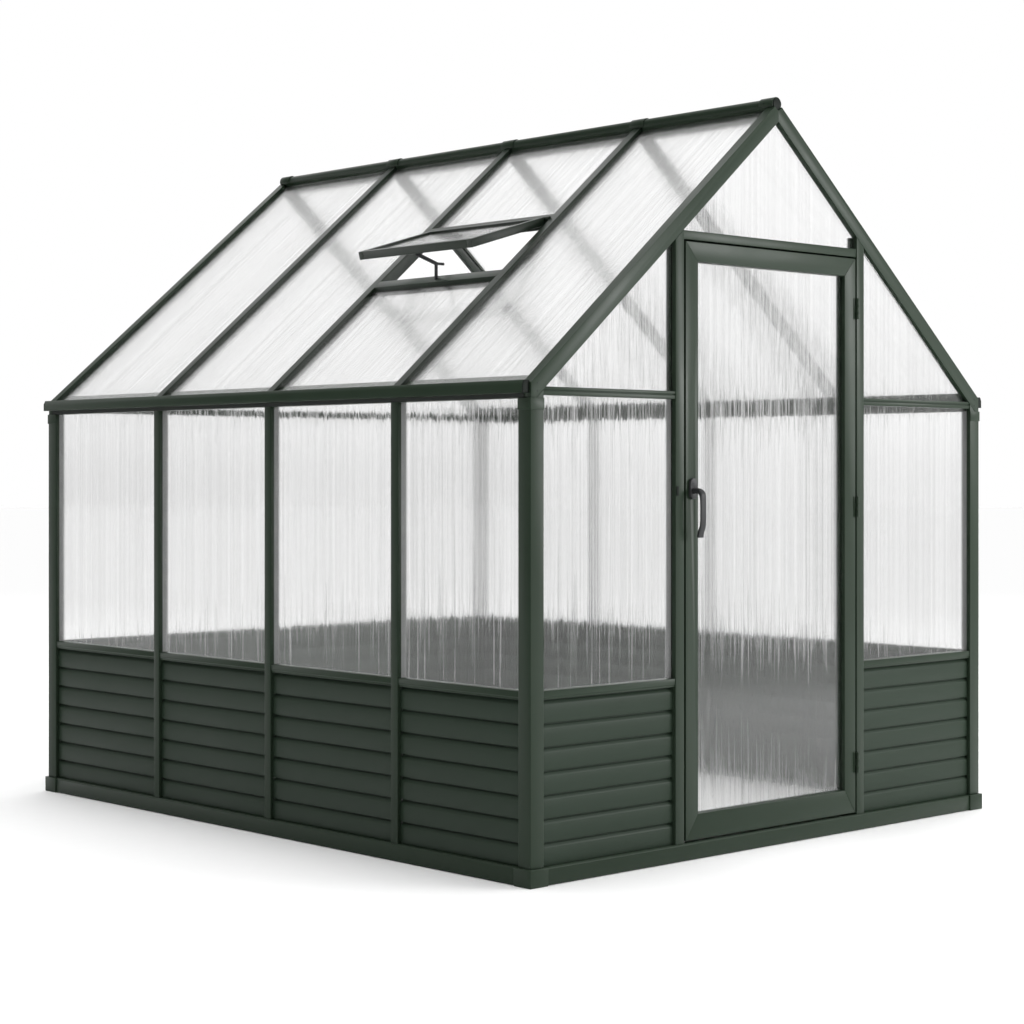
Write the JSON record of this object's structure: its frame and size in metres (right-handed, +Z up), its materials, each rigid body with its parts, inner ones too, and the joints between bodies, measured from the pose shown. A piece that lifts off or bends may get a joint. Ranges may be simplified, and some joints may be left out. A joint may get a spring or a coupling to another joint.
{
  "type": "greenhouse",
  "caption": "Walk-in gable greenhouse with a dark green aluminium frame, lapped lower siding, clear twin-wall sheets, side gutters, an open roof vent and a hinged door with a lever handle.",
  "frame": {"origin": "on the ground under the middle of the base flange of the sills", "axes": "+Z up, front gable with the door at -Y, long walls at -X and +X"},
  "size_m": [2.03, 2.436, 2.174],
  "materials": {
    "frame": "satin dark green powder coat",
    "siding": "satin dark green powder coat",
    "sheet": "clear twin-wall polycarbonate with fine flutes",
    "fittings": "satin charcoal"
  },
  "bodies": {
    "building": {"corner_boots": "frame", "base_sills": "frame", "corner_posts": "frame", "corner_brackets": "frame", "wall_studs": "frame", "mid_rails": "frame", "side_siding": "siding", "gable_siding": "siding", "side_panes": "sheet", "front_panes": "sheet", "rear_pane": "sheet", "eave_beams": "frame", "gutters": "frame", "gutter_end_caps": "frame", "gable_rails": "frame", "front_rafter_left": "frame", "front_rafter_right": "frame", "rear_rafter_left": "frame", "rear_rafter_right": "frame", "left_roof_bars": "frame", "right_roof_bars": "frame", "ridge_beam": "frame", "ridge_clips": "frame", "ridge_end_caps": "frame", "left_roof_panes": "sheet", "right_roof_panes": "sheet", "front_gable_panes": "sheet", "rear_gable_pane": "sheet", "door_jambs": "frame", "door_transom": "frame", "vent_cross_bars": "frame", "vent_sash_stiles": "frame", "vent_sash_rails": "frame", "vent_pane": "sheet", "vent_stay": "fittings", "jamb_hinge_leaves": "frame", "strike_plate": "fittings"},
    "door": {"door_stiles": "frame", "door_rails": "frame", "door_pane": "sheet", "door_hinge_leaves": "frame", "handle_roses": "fittings"},
    "handle": {"lever_handles": "fittings"}
  },
  "joints": [
    {"name": "door_swing", "type": "hinge", "parent": "building", "child": "door", "pos_m": [0.361, -1.197, 0], "axis": [0, 0, 1], "range_deg": [0, 110]},
    {"name": "handle_turn", "type": "hinge", "parent": "door", "child": "handle", "pos_m": [-0.371, -1.197, 1.03], "axis": [0, -1, 0], "range_deg": [0, 90]}
  ]
}
